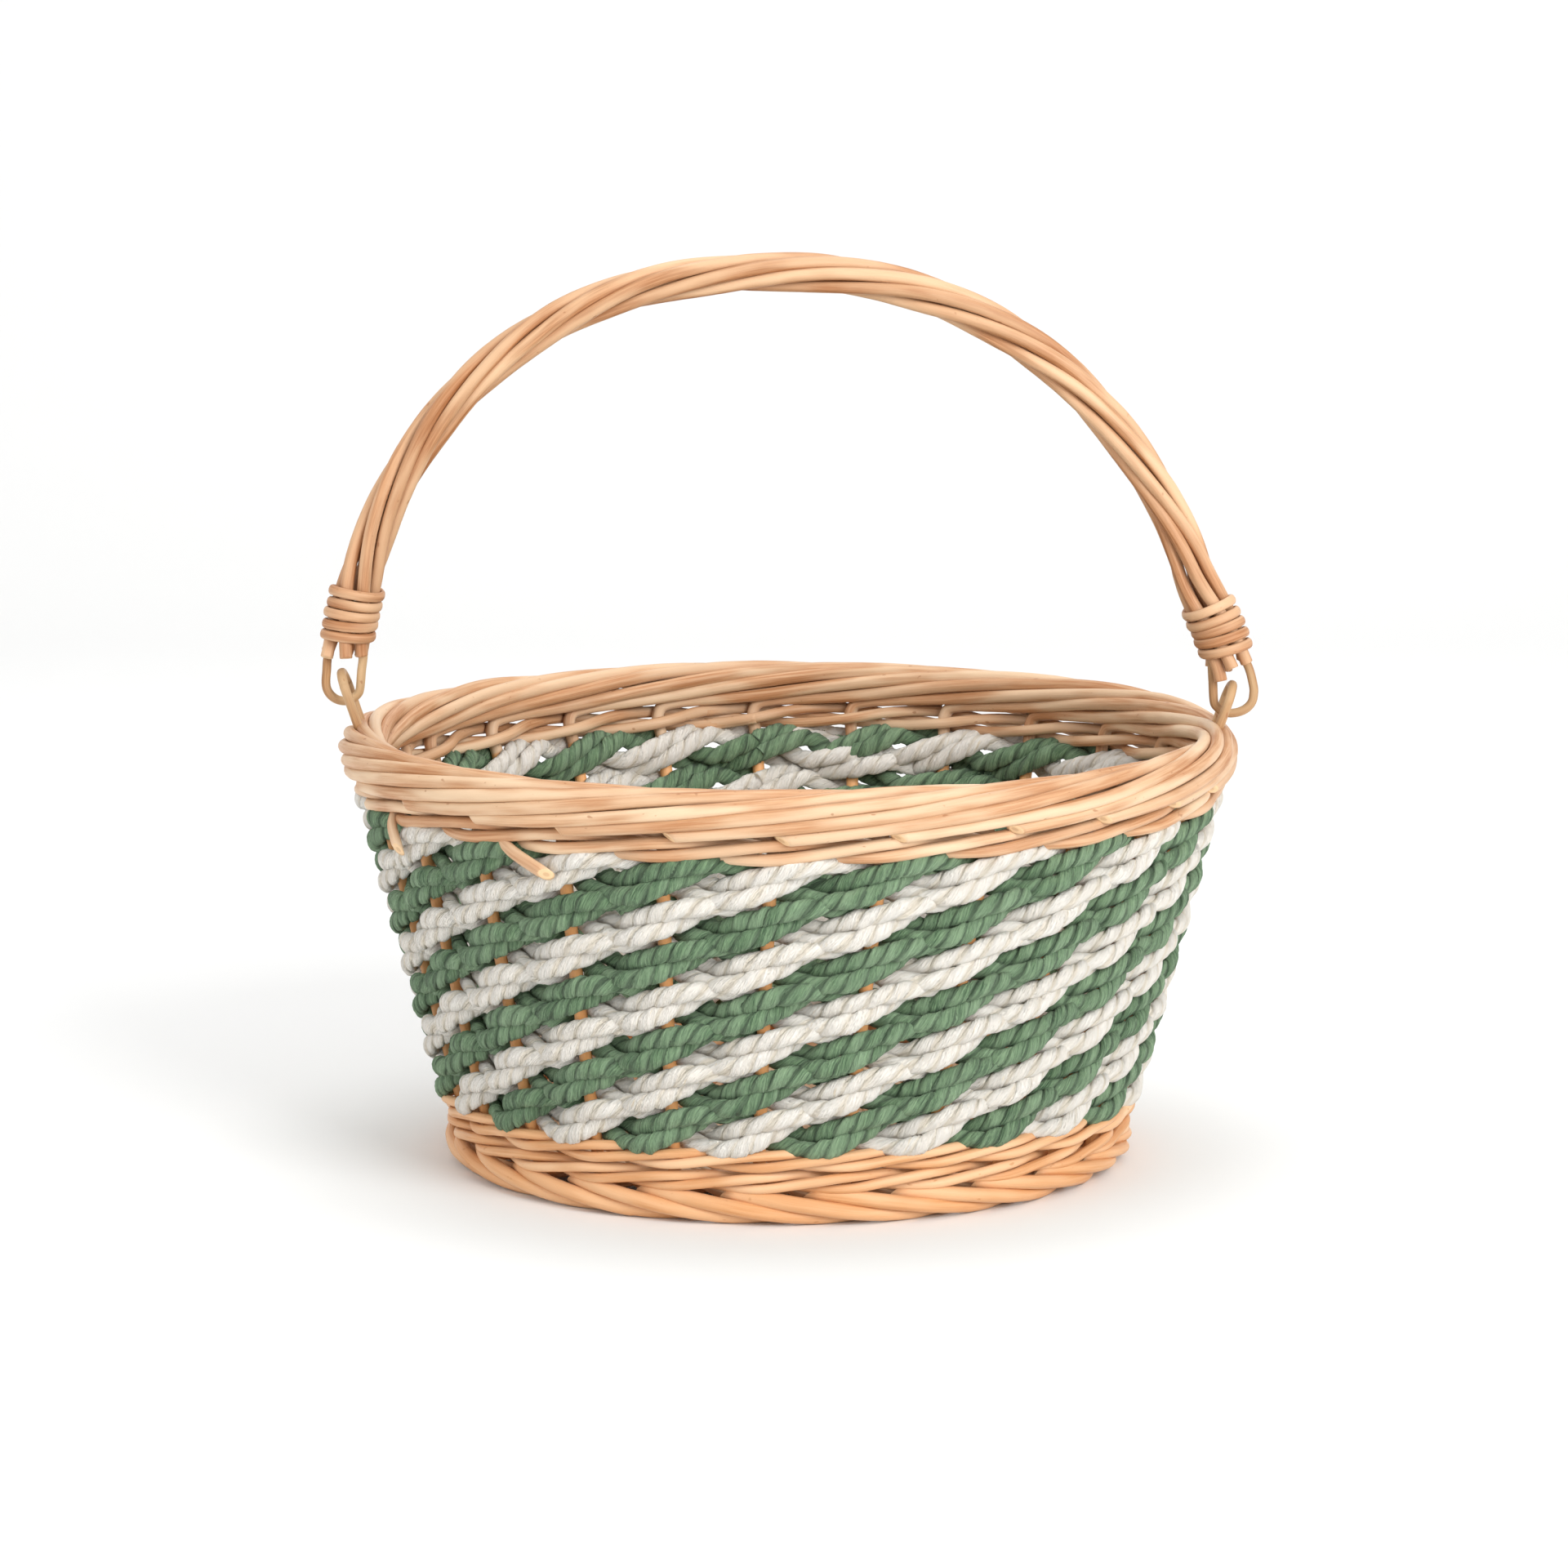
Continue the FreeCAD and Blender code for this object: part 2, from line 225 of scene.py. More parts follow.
class Bundle:
    """Strands swept along lines and gathered into one mesh.

    Each vertex keeps two vectors for the materials.  `grain` is the place along the strand and
    across its section.  `mark` is the strand's tone, how far it is into a cut end or how much
    shade is painted on it for the crevices between paper plies, and how much warmer and brighter
    its colour is.
    """

    def __init__(self):
        self.points = []
        self.quads = []
        self.fans = []
        self.grain = []
        self.mark = []
        self.count = 0

    def add(self, points, grain, mark):
        self.points.append(points.reshape(-1, 3))
        self.grain.append(grain.reshape(-1, 3))
        self.mark.append(mark.reshape(-1, 3))
        first = self.count
        self.count += points.size // 3
        return first

    def sweep(self, path, side, radius, dice, sides=12, width=1.0, height=1.0, crease=0.0,
              painted_shade=0.0, slant=(None, None), tone=None, warm_bright=0.0, press=None):
        """One strand with closed ends.  width acts along `side` and height across it.

        crease is how deeply folds run along it.  The shade painted into paper crevices, the tone
        and the warmer, brighter colour go into `mark`.
        slant gives each end the direction that its cut face is turned towards.
        press gives a line, a direction beside each of its points and how much thickness is left
        in that direction.
        """
        count = len(path)
        ahead = unit(np.gradient(path, axis=0))
        side = unit(side - ahead * (side * ahead).sum(1, keepdims=True))
        across = np.cross(side, ahead)
        along = lengths(path)
        turn = np.arange(sides) / sides * 2 * math.pi
        reach = np.broadcast_to(np.asarray(radius, float).reshape(-1, 1), (count, sides)).copy()
        if crease:
            for folds, share in ((2, 1.0), (3, 0.8), (5, 0.6)):
                phase = 2.2 * wander(along, 23.0, dice)[:, None] + dice.uniform(0, 6.28)
                size = crease * share * (0.65 + 0.35 * wander(along, 9.0, dice))[:, None]
                reach *= 1 + size * np.sin(folds * turn[None] + phase)
        cosine = np.cos(turn)[None, :, None] * width
        sine = np.sin(turn)[None, :, None] * height
        section = reach[:, :, None] * (cosine * side[:, None] + sine * across[:, None])
        rings = path[:, None] + section
        if press:
            line, way, left = press
            depths = ((rings - line[:, None]) * way[:, None]).sum(2, keepdims=True)
            rings = rings - way[:, None] * depths * (1 - left)
        seed = dice.uniform(0, 900.0)
        shade = dice.uniform(-1, 1) if tone is None else tone
        grain = np.empty((count, sides, 3))
        grain[..., 0] = along[:, None] + seed
        grain[..., 1] = reach * np.cos(turn)[None]
        grain[..., 2] = reach * np.sin(turn)[None]
        mark = np.empty((count, sides, 3))
        mark[..., 0] = shade
        mark[..., 1] = painted_shade
        mark[..., 2] = np.asarray(warm_bright, float).reshape(-1, 1)
        base = self.add(rings, grain, mark)
        self.stitch(base, base + sides, count - 1, sides)
        for end, lean in enumerate(slant):
            self.close(path, section, ahead, grain, mark, end, lean, base, sides)

    def stitch(self, low, high, rows, sides):
        """Quads between neighbouring rings."""
        j = np.arange(sides)
        k = (j + 1) % sides
        for_row = np.stack([low + j, high + j, high + k, low + k], axis=1)
        steps = (np.arange(rows) * sides)[:, None, None]
        self.quads.append((for_row[None] + steps).reshape(-1, 4))

    def close(self, path, section, ahead, grain, mark, end, lean, base, sides):
        """A cut end: a small bevel, then a face with its pith in the middle."""
        at = 0 if end == 0 else len(path) - 1
        way = -ahead[at] if end == 0 else ahead[at]
        last = base + at * sides
        bevel = way * np.linalg.norm(section[at], axis=1).mean() * 0.1
        for scale, deep in ((0.9, 0.45), (0.55, 0.8), (0.2, 1.0), (0.03, 1.0)):
            ring = path[at] + section[at] * scale + bevel
            if lean is not None:
                rise = section[at] @ np.asarray(lean)
                ring = ring + way * (rise.max() - rise * scale)[:, None]
            # On willow this gives the lighter cut face and its pith; on paper it paints the cut end
            # in the plies' painted shade colour.
            ring_mark = mark[at].copy()
            ring_mark[:, 1] = deep
            new = self.add(ring, grain[at] * np.array([1.0, scale, scale]), ring_mark)
            if end == 0:
                self.stitch(new, last, 1, sides)
            else:
                self.stitch(last, new, 1, sides)
            last = new
        fan = last + np.arange(sides)
        self.fans.append(fan if end == 0 else fan[::-1])

    def build(self, name, material, body, replaced=()):
        """Makes the object, gives it its material and hangs it on its body."""
        points = np.vstack(self.points)
        if body == "basket":
            points = settled(points)
        quads = np.vstack(self.quads)
        mesh = bpy.data.meshes.new(name)
        corner_count = quads.size + sum(len(fan) for fan in self.fans)
        starts = np.arange(len(quads)) * 4
        corners = [quads.reshape(-1)]
        fan_starts = []
        here = quads.size
        for fan in self.fans:
            fan_starts.append(here)
            corners.append(fan)
            here += len(fan)
        mesh.vertices.add(len(points))
        mesh.vertices.foreach_set("co", (points * MM).reshape(-1))
        mesh.loops.add(corner_count)
        mesh.loops.foreach_set("vertex_index", np.concatenate(corners).astype(np.int32))
        mesh.polygons.add(len(quads) + len(self.fans))
        all_starts = np.concatenate([starts, np.array(fan_starts, int)]).astype(np.int32)
        mesh.polygons.foreach_set("loop_start", all_starts)
        mesh.update(calc_edges=True)
        mesh.polygons.foreach_set("use_smooth", np.ones(len(mesh.polygons), bool))
        for label, values in (("grain", self.grain), ("mark", self.mark)):
            layer = mesh.attributes.new(label, "FLOAT_VECTOR", "POINT")
            layer.data.foreach_set("vector", np.vstack(values).astype(np.float32).reshape(-1))
        mesh.validate()
        thing = bpy.data.objects.new(name, mesh)
        bpy.context.scene.collection.objects.link(thing)
        mesh.materials.append(material)
        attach(thing, body)
        if replaced:
            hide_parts(*replaced)
        return thing


# ---- materials ----------------------------------------------------------------------------

def colour(red, green, blue):
    """A colour given as 0 to 255 screen values, for a shader."""
    values = []
    for c in (red / 255, green / 255, blue / 255):
        values.append(c / 12.92 if c <= 0.04045 else ((c + 0.055) / 1.055) ** 2.4)
    return (*values, 1.0)


class Nodes:
    """Short names for building one material's nodes."""

    def __init__(self, name):
        self.material = bpy.data.materials.new(name)
        self.material.use_nodes = True
        self.tree = self.material.node_tree
        self.shader = self.tree.nodes["Principled BSDF"]

    def new(self, kind, **settings):
        node = self.tree.nodes.new(kind)
        for key, value in settings.items():
            setattr(node, key, value)
        return node

    def link(self, source, target):
        self.tree.links.new(source, target)

    def attribute(self, name):
        node = self.new("ShaderNodeAttribute", attribute_name=name)
        return node.outputs["Vector"]

    def part(self, vector, axis):
        node = self.new("ShaderNodeSeparateXYZ")
        self.link(vector, node.inputs[0])
        return node.outputs[axis]

    def stretched(self, vector, scale):
        node = self.new("ShaderNodeVectorMath", operation="MULTIPLY")
        self.link(vector, node.inputs[0])
        node.inputs[1].default_value = scale
        return node.outputs[0]

    def noise(self, vector, scale=1.0, detail=4.0, rough=0.55, distortion=0.0):
        node = self.new("ShaderNodeTexNoise")
        self.link(vector, node.inputs["Vector"])
        node.inputs["Scale"].default_value = scale
        node.inputs["Detail"].default_value = detail
        node.inputs["Roughness"].default_value = rough
        node.inputs["Distortion"].default_value = distortion
        return node.outputs[0]

    def curve(self, value, low, high, start=0.0, end=1.0):
        node = self.new("ShaderNodeMapRange")
        node.interpolation_type = "SMOOTHSTEP"
        self.link(value, node.inputs["Value"])
        node.inputs["From Min"].default_value = low
        node.inputs["From Max"].default_value = high
        node.inputs["To Min"].default_value = start
        node.inputs["To Max"].default_value = end
        return node.outputs[0]

    def mix(self, factor, first, second):
        node = self.new("ShaderNodeMix", data_type="RGBA")
        self.link(factor, node.inputs[0])
        for socket, value in ((node.inputs[6], first), (node.inputs[7], second)):
            if isinstance(value, tuple):
                socket.default_value = value
            else:
                self.link(value, socket)
        return node.outputs[2]

    def bump(self, height, distance, strength=1.0, before=None):
        node = self.new("ShaderNodeBump")
        node.inputs["Strength"].default_value = strength
        node.inputs["Distance"].default_value = distance
        self.link(height, node.inputs["Height"])
        if before is not None:
            self.link(before, node.inputs["Normal"])
        return node.outputs[0]


def willow(name, pale, middle, deep, rough=0.46):
    """Peeled, buff-dyed willow: long streaks, slow blotches, small knots and a pithy cut end."""
    n = Nodes(name)
    grain = n.attribute("grain")
    mark = n.attribute("mark")
    streaks = n.noise(n.stretched(grain, (0.035, 1.1, 1.1)), detail=5.0, rough=0.6)
    fine = n.noise(n.stretched(grain, (0.09, 4.5, 4.5)), detail=3.0, rough=0.6)
    slow = n.noise(n.stretched(grain, (0.022, 0.12, 0.12)), detail=2.0)
    tint = n.mix(n.curve(streaks, 0.34, 0.68), deep, middle)
    tint = n.mix(n.curve(slow, 0.36, 0.62), tint, pale)
    tint = n.mix(n.curve(n.part(mark, 0), -1.3, 1.5, 0.0, 0.42), tint, deep)
    tint = n.mix(n.curve(fine, 0.5, 0.85, 0.0, 0.35), tint, pale)
    spots = n.noise(n.stretched(grain, (0.33, 0.55, 0.55)), detail=1.0, rough=0.3)
    spot = n.curve(spots, 0.73, 0.80, 0.0, 0.55)
    tint = n.mix(spot, tint, colour(150, 92, 52))
    # mark's third value mixes in a warmer, brighter colour; on the covered stakes it is painted
    # light against the bands' shade.
    warm_bright_share = n.curve(n.part(mark, 2), 0.0, 1.0, 0.0, 0.8)
    tint = n.mix(warm_bright_share, tint, colour(250, 180, 112))
    face = n.curve(n.part(mark, 1), 0.3, 0.6)
    tint = n.mix(face, tint, colour(232, 196, 152))
    pith = n.curve(n.part(mark, 1), 0.86, 0.97, 0.0, 0.3)
    tint = n.mix(pith, tint, colour(140, 88, 52))
    n.link(tint, n.shader.inputs["Base Color"])
    n.link(n.curve(streaks, 0.3, 0.7, rough + 0.12, rough - 0.06), n.shader.inputs["Roughness"])
    lines = n.bump(fine, 0.00018, 0.55)
    n.link(n.bump(streaks, 0.0004, 0.35, lines), n.shader.inputs["Normal"])
    n.shader.inputs["Specular IOR Level"].default_value = 0.38
    return n.material


def paper(name, pale, middle, deep, crevice_shade, stain=None):
    """Twisted paper: soft fibres along the twist, creases, and painted shade that darkens its
    crevices and cut ends.
    """
    n = Nodes(name)
    grain = n.attribute("grain")
    mark = n.attribute("mark")
    fibres = n.noise(n.stretched(grain, (0.16, 1.7, 1.7)), detail=6.0, rough=0.7, distortion=0.6)
    fine = n.noise(n.stretched(grain, (0.5, 6.0, 6.0)), detail=3.0, rough=0.6)
    slow = n.noise(n.stretched(grain, (0.03, 0.2, 0.2)), detail=2.0)
    tint = n.mix(n.curve(fibres, 0.33, 0.66), deep, middle)
    tint = n.mix(n.curve(fine, 0.5, 0.8, 0.0, 0.5), tint, pale)
    tint = n.mix(n.curve(slow, 0.35, 0.7, 0.0, 0.3), tint, pale)
    if stain:
        blots = n.noise(n.stretched(grain, (0.21, 0.7, 0.7)), detail=3.0, rough=0.6)
        tint = n.mix(n.curve(blots, 0.63, 0.76, 0.0, 0.5), tint, stain)
    # Painted shade: the darkest colour goes where the plies meet and on their cut ends.
    tint = n.mix(n.curve(n.part(mark, 1), 0.12, 0.8), tint, crevice_shade)
    n.link(tint, n.shader.inputs["Base Color"])
    n.link(n.curve(fibres, 0.3, 0.7, 0.86, 0.68), n.shader.inputs["Roughness"])
    lines = n.bump(fine, 0.0004, 0.7)
    n.link(n.bump(fibres, 0.0017, 0.8, lines), n.shader.inputs["Normal"])
    n.shader.inputs["Specular IOR Level"].default_value = 0.3
    n.shader.inputs["Sheen Weight"].default_value = 0.12
    return n.material


WILLOW = willow("willow", colour(226, 196, 162), colour(212, 168, 128), colour(180, 126, 84))
WILLOW_DEEP = willow("willow_handle", colour(224, 186, 148), colour(204, 152, 110),
                     colour(160, 104, 62))
CANE = willow("rattan_cane", colour(212, 180, 138), colour(190, 148, 104), colour(150, 104, 64),
              0.5)
# The fourth colour of each paper is painted shade for the crevices between its plies.
GREEN = paper("paper_green", colour(190, 220, 180), colour(126, 158, 118), colour(56, 88, 58),
              colour(18, 36, 24))
WHITE = paper("paper_white", colour(255, 253, 248), colour(252, 247, 238), colour(243, 235, 222),
              colour(236, 222, 196), colour(236, 214, 170))


# ---- paper bands --------------------------------------------------------------------------

def band_level(u, row):
    """Height of a row: level, then up one pitch over the last spacings before the seam."""
    step = eased((u - (SEAM - SEAM_STEP)) / SEAM_STEP) if row < ROWS - 1 else 0.0
    tail = eased((SEAM - STAKES - u) / SEAM_STEP)
    return BAND_LEVEL + BAND_PITCH * (row + step) - BAND_TAIL_DROP * tail


def band_line(u, row, sign):
    """Centre line of a band, and how far it is out of and above its row, each from -1 to 1."""
    beat = math.pi * (u - row)
    swing = sign * np.sign(np.cos(beat)) * np.abs(np.cos(beat)) ** 0.85
    climb = sign * (0.6 * np.arcsin(0.97 * np.sin(beat)) / math.asin(0.97) + 0.4 * np.sin(beat))
    return on_wall(u, BAND_REACH * swing, band_level(u, row) + BAND_RISE * climb), swing, climb


def add_cord(bundle, centre, normal, up, scale, lay, dice, crease):
    """Two plies of paper twisted together along a line."""
    along = lengths(centre)
    twist = 2 * math.pi * along / lay + dice.uniform(0, 6.28) + 0.8 * wander(along, 60.0, dice)
    sides = 14
    angles = np.arange(sides) / sides * 2 * math.pi
    # Painted shade on each ply: on the side that turns in to the other ply and at its two sides.
    inner = np.clip(-np.cos(angles), 0, 1) ** 1.3
    edge_shade = np.abs(np.sin(angles)) ** 4 * 0.5
    for ply in range(2):
        turn = twist + ply * math.pi
        away = normal * np.cos(turn)[:, None] + up * np.sin(turn)[:, None]
        path = centre + away * (PLY_OFFSET * scale)[:, None]
        radius = scale * PLY_RADIUS * (1 + 0.12 * wander(along, 13.0, dice))
        bundle.sweep(path, away, radius, dice, sides, width=0.9, height=1.12, crease=crease,
                     painted_shade=np.maximum(inner, edge_shade)[None], tone=dice.uniform(-1, 1),
                     press=(centre, normal, PLY_FLATNESS))


def make_bands():
    """Both bands: in each, two twisted cords lie side by side and pass in and out of the stakes."""
    for label, sign, lay, crease, material, slot, seed in (
            ("green", -1, 12.6, 0.105, GREEN, "paper_green", 11),
            ("white", 1, 15.4, 0.075, WHITE, "paper_white", 12)):
        dice = np.random.default_rng(seed)
        for row in range(ROWS):
            first = SEAM - STAKES - (SEAM_STEP if row == 0 else 0)
            last = SEAM - (0.4 if row == ROWS - 1 else 0)
            u = np.arange(first, last + 0.01, 0.025)
            line, swing, climb = band_line(u, row, sign)
            thin = np.ones_like(u)
            if row == 0:
                thin = 0.45 + 0.55 * eased((u - first) / 0.9)
            if row == ROWS - 1:
                thin = 0.45 + 0.55 * eased((last - u) / 0.9)
            line = even(np.column_stack([line, swing, climb, thin]), 0.8)
            centre, swing, climb, thin = line[:, :3], line[:, 3], line[:, 4], line[:, 5]
            ahead = unit(np.gradient(centre, axis=0))
            normal = outward(centre)
            normal = unit(normal - ahead * (normal * ahead).sum(1, keepdims=True))
            up = np.cross(normal, ahead)
            lean = CORD_TURN * climb
            apart = up * np.cos(lean)[:, None] + normal * np.sin(lean)[:, None]
            plump = 0.985 - 0.045 * climb ** 2 + 0.5 * (climb * swing) ** 2
            scale = thin * (plump + 0.04 * wander(lengths(centre), 55.0, dice))
            bundle = Bundle()
            for side in (-1, 1):
                cord = centre + apart * (CORD_OFFSET * side * scale)[:, None]
                add_cord(bundle, cord, normal, up, scale, lay, dice, crease)
            bundle.build("%s_band_%d" % (label, row + 1), material, "basket",
                         ("%s_braid" % label,))


# ---- wales --------------------------------------------------------------------------------

def wale_line(number, level, rod, start):
    """One rod of a three-rod wale for one round: in front of two stakes and behind one."""
    out = STAKE_RADIUS + rod
    rise = rod + WALE_GAP
    places = {
        0: (-out - 0.7, 0.0), 1: (0.0, -rise), 2: (out + 0.5, -rise),
        3: (out + 0.4, 0.0), 4: (out + 0.5, rise), 5: (0.0, rise),
    }
    rows = []
    for half_step in range(2 * STAKES + 2):
        side, lift = places[(half_step + 2 * (start - number)) % 6]
        rows.append((start + half_step / 2, side, level + lift))
    return smooth(rows, 14)


def make_wale(name, number, level, rod, start, seed, end=None, warm_bright=0.0):
    """A wale rod, a little uneven, and the cut end of a rod that was joined in, if it has one."""
    dice = np.random.default_rng(seed)
    line = wale_line(number, level, rod, start)
    u, out, z = line[:, 0], line[:, 1], line[:, 2]
    z = z + 0.35 * wander(u, 5.0, dice)
    out = out + 0.2 * wander(u, 4.0, dice)
    path = even(on_wall(u, out, z), 1.1)
    along = lengths(path)
    radius = rod * (1.03 - 0.08 * along / along[-1] + 0.035 * wander(along, 60.0, dice))
    bundle = Bundle()
    bundle.sweep(path, outward(path), radius, dice, 14, crease=0.012, warm_bright=warm_bright)
    if end:
        stub = even(on_wall(*smooth(end, 10).T), 1.0)
        bundle.sweep(stub, outward(stub), rod * 1.05, dice, 14, width=0.8, height=1.1,
                     crease=0.015, tone=-1.0, slant=(None, 1.6 * outward(stub[-1:])[0]))
    bundle.build("woven_" + name, WILLOW, "basket", (name,))


def make_wales():
    """Two rounds under the bands and one above them."""
    for turn in range(2):
        level = BOTTOM_WALE_LEVEL + WALE_ROUND_HEIGHT * turn
        for number in range(3):
            name = "bottom_wale_%d_rod_%d" % (turn + 1, number + 1)
            make_wale(name, number, level, BOTTOM_WALE_RADIUS, turn + 9, 30 + 3 * turn + number,
                      warm_bright=0.4)
    # place round the wall, distance out of it and height
    ends = (((-2.6, 3.5, 120.0), (-2.4, 6.6, 117.4), (-2.1, 8.4, 113.2)),
            ((-4.3, 3.5, 120.5), (-4.2, 6.5, 117.5), (-4.05, 8.5, 113.0)),
            None)
    for number in range(3):
        make_wale("top_wale_rod_%d" % (number + 1), number, TOP_WALE_LEVEL, TOP_WALE_RADIUS, 13,
                  40 + number, ends[number])


# ---- stakes, border and foot --------------------------------------------------------------

# Radius and height of a stake's centre at each stake that it passes in the border
BORDER_SECTION = (
    (132.4, 130.4), (131.3, 134.4), (133.5, 138.0), (137.4, 139.3), (141.1, 137.5), (142.9, 133.7),
    (142.4, 129.8))


def make_stakes():
    """Stakes that rise from the base and roll over each other into the border."""
    dice = np.random.default_rng(51)
    for k in range(STAKES):
        rows = [(k, 90.0, BASE_LEVEL), (k, 98.8, BASE_LEVEL), (k, wall_radius(9.0) - 0.6, 10.6)]
        rows += [(k, wall_radius(z), z) for z in (20.0, 45.0, 70.0, 95.0, 115.0, 124.5)]
        rows.append((k - 0.2, 134.6, 127.8))
        for step, (radius, z) in enumerate(BORDER_SECTION, start=1):
            radius += dice.uniform(-0.4, 0.4)
            rows.append((k - step, radius, z + dice.uniform(-0.75, 0.1)))
        rows.append((k - 7.75 - dice.uniform(0, 0.14), 141.3, 127.0 - dice.uniform(0, 0.5)))
        line = smooth(rows, 16)
        path = even(around(line[:, 0], line[:, 1], line[:, 2]), 1.3)
        along = lengths(path)
        taper = 0.06 * np.sin(along / along[-1] * 3)
        radius = STAKE_RADIUS * (1.0 + taper + 0.03 * wander(along, 50.0, dice))
        bundle = Bundle()
        face = 0.9 * outward(path[-1:])[0] - np.array([0.0, 0.0, 0.7])
        # Painted light: the covered part of each stake takes the warmer, brighter colour, lifting
        # it out of the bands' shade.
        covered = along < along[np.argmax(path[:, 2] > STAKE_COVERED_TO)]
        bundle.sweep(path, carried(path, (0.0, 0.0, 1.0)), radius, dice, 14, crease=0.012,
                     slant=(None, face), warm_bright=covered)
        bundle.build("stake_%02d" % (k + 1), WILLOW, "basket", ("stakes",))


def make_foot():
    """Thick rods, blunt at the top end, that slant down and tuck under the base."""
    dice = np.random.default_rng(61)
    rod = FOOT_ROD_RADIUS
    for k in range(STAKES):
        rows = [(k - 0.22, 106.4, 9.3), (k + 0.1, 108.5, 8.6), (k + 0.5, 109.5, 7.0)]
        rows += [(k + 1.1, 108.9, 4.3), (k + 1.7, 106.0, rod + 0.1), (k + 2.3, 101.5, rod)]
        rows.append((k + 2.9, 96.5, rod))
        line = smooth(rows, 14)
        lift = 0.3 * dice.uniform(-1, 1)
        path = even(around(line[:, 0], line[:, 1], line[:, 2] + lift * (line[:, 2] > 3)), 1.3)
        along = lengths(path)
        radius = rod * (1.02 - 0.14 * (along / along[-1]) ** 2 + 0.02 * wander(along, 40.0, dice))
        bundle = Bundle()
        face = np.array([0.0, 0.0, dice.uniform(0.3, 0.9)]) - 0.9 * outward(path[:1])[0]
        bundle.sweep(path, carried(path, (0.0, 0.0, 1.0)), radius, dice, 16, crease=0.01,
                     slant=(face, None), tone=1.1, warm_bright=0.45)
        bundle.build("foot_rod_%02d" % (k + 1), WILLOW, "basket", ("foot_border_rods",))


# ---- base ---------------------------------------------------------------------------------

def make_base():
    """A crossed set of sticks, and pairs of thin rods woven round their fanned ends."""
    dice = np.random.default_rng(71)
    for label, size, across in (("pierced", 2.5, False), ("through", 1.65, True)):
        bundle = Bundle()
        for k in range(SLATH_STICKS):
            place = k - (SLATH_STICKS - 1) / 2
            offset = place * SLATH_PITCH
            fan = math.radians(place * SLATH_FAN)
            tip_x, tip_y = SLATH_HALF_LENGTH * math.cos(fan), SLATH_HALF_LENGTH * math.sin(fan)
            half_x, half_y = (SLATH_STRAIGHT + tip_x) * 0.5, (offset + tip_y) * 0.5
            rows = [(-tip_x, tip_y), (-half_x, half_y), (-SLATH_STRAIGHT, offset), (0.0, offset),
                    (SLATH_STRAIGHT, offset), (half_x, half_y), (tip_x, tip_y)]
            rows = [(y, x, BASE_LEVEL) if across else (x, y, BASE_LEVEL) for x, y in rows]
            path = even(smooth(rows, 10), 1.8)
            upright = np.tile([0.0, 0.0, 1.0], (len(path), 1))
            bundle.sweep(path, upright, size, dice, 14, crease=0.012)
        bundle.build("slath_" + label, WILLOW, "basket", ("base_sticks_" + label,))
    rounds = (WEAVER_END - WEAVER_START) / WEAVER_PITCH
    for pair in range(2):
        turn = np.arange(0, rounds * SPOKES, 0.1)
        radius = WEAVER_START + WEAVER_PITCH * turn / SPOKES
        angle = turn * 2 * math.pi / SPOKES + math.radians(7.5)
        beat = math.pi * (turn + pair)
        z = BASE_LEVEL + WEAVER_SWING * np.cos(beat) * np.clip(0.75 + radius / 300, 0, 1)
        radius = radius + 0.9 * np.sin(beat) + 0.15 * wander(turn, 15.0, dice)
        path = np.stack([radius * np.sin(angle), -radius * np.cos(angle), z], axis=-1)
        path = even(path, 1.9)
        along = lengths(path)
        bundle = Bundle()
        size = WEAVER_RADIUS * (1 + 0.05 * wander(along, 80.0, dice))
        bundle.sweep(path, np.tile([0.0, 0.0, 1.0], (len(path), 1)), size, dice, 10)
        bundle.build("base_weaver_%d" % (pair + 1), WILLOW, "basket", ("base_weave",))


# ---- links --------------------------------------------------------------------------------

def leaned(x, z):
    """The right half of the handle has settled inwards and down a little."""
    lean = np.where(x > 0, x * x / (np.abs(x) + ARCH_ROUND), 0.0)
    moved_x = x - ARCH_PULL * lean * eased((z - 14) / 34)
    return moved_x, z - ARCH_SINK * lean * eased((z - 30) / 80)


def to_world(points):
    """From the handle's own frame, where the two links lie on X, to the basket's."""
    cosine, sine = math.cos(LINK_TILT), math.sin(LINK_TILT)
    x = points[..., 0] * cosine + points[..., 2] * sine + LINK_SHIFT
    z = -points[..., 0] * sine + points[..., 2] * cosine + LINK_LEVEL
    return np.stack([x, points[..., 1], z], axis=-1)


def arch_side_at(side, z):
    """Place of the handle's centre line beside a link, at a height above the links."""
    share = 1 - ((z + ARCH_DROP) / ARCH_HEIGHT) ** ARCH_POWER
    return float(leaned(side * ARCH_HALF_WIDTH * share ** (1 / ARCH_POWER), z)[0])


def half_ring(count=9):
    """Places round a half circle from -90 to 90 degrees."""
    return [math.radians(-90 + 180 * i / (count - 1)) for i in range(count)]


